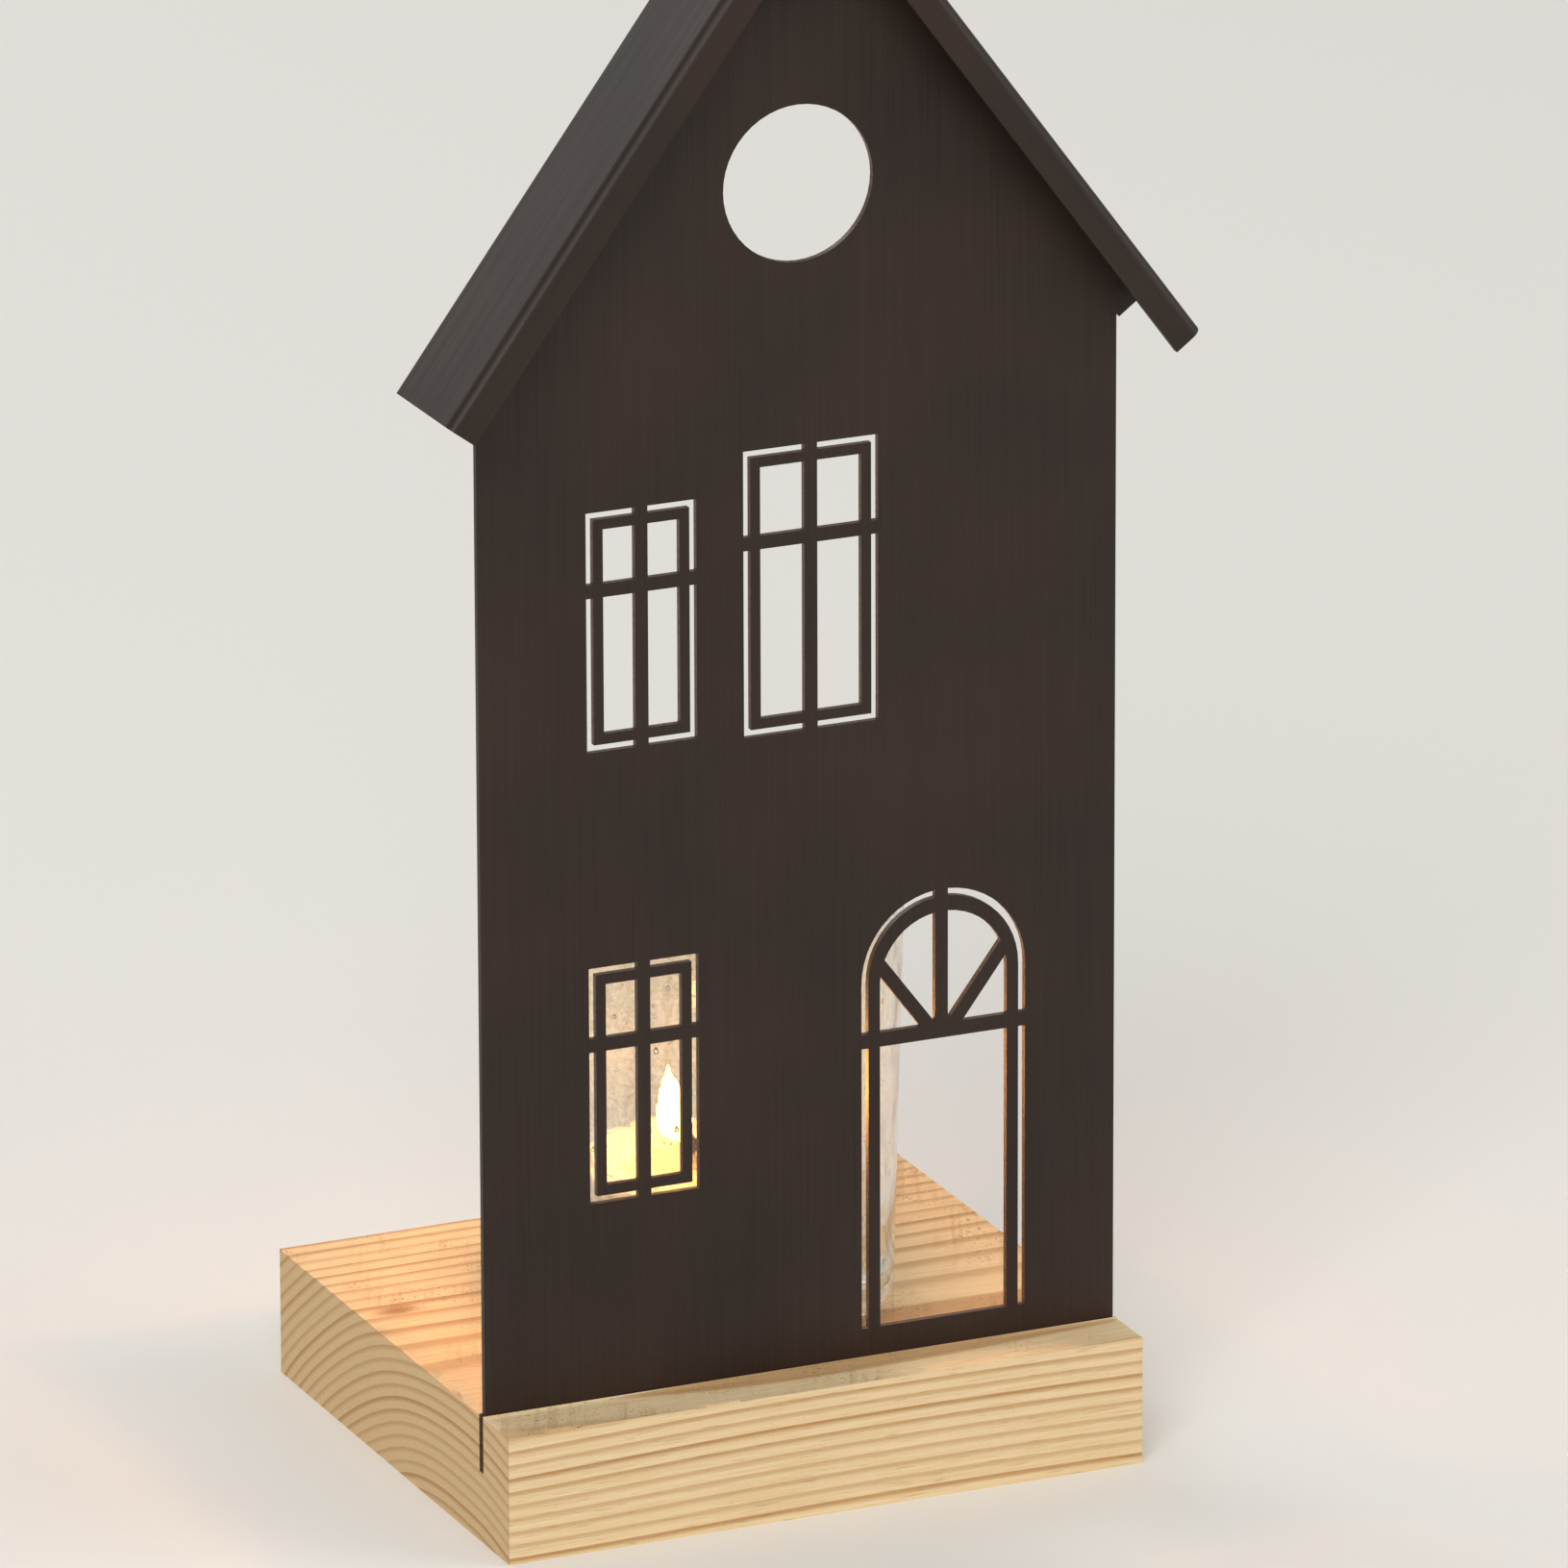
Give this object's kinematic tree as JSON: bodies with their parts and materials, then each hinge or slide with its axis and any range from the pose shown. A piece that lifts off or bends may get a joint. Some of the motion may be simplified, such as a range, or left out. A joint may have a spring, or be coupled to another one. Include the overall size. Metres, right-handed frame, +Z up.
{
  "type": "tealight house",
  "caption": "House-front candle holder: cut-out sheet metal facade with a folded roof, set in a pine block, with a loose glass and a tealight standing behind it.",
  "frame": {"origin": "middle of the block's underside", "axes": "+Z up, the house front faces -Y, +X to the right when looking at the front"},
  "size_m": [0.1398, 0.1055, 0.2998],
  "materials": {
    "pine": "rough sawn, untreated",
    "lacquered_steel": "dark brown lacquer, faintly streaked",
    "seeded_glass": "clear with a seeded, hammered surface",
    "clear_plastic": "clear",
    "wax": "white paraffin wax",
    "tinplate": "pressed tinplate",
    "cotton": "braided cotton, burnt at the end"
  },
  "bodies": {
    "house": {"base_block": "pine", "house_front": "lacquered_steel", "roof": "lacquered_steel", "tack_welds": "lacquered_steel"},
    "glass": {"lantern_glass": "seeded_glass"},
    "tealight": {"tealight_cup": "clear_plastic", "tealight_wax": "wax", "wick_clip": "tinplate", "wick": "cotton"}
  },
  "joints": [
    {"name": "glass_lift", "type": "slide", "parent": "house", "child": "glass", "axis": [0, 0, 1], "range_m": [0, 0.1]},
    {"name": "tealight_lift", "type": "slide", "parent": "glass", "child": "tealight", "axis": [0, 0, 1], "range_m": [0, 0.085]}
  ]
}
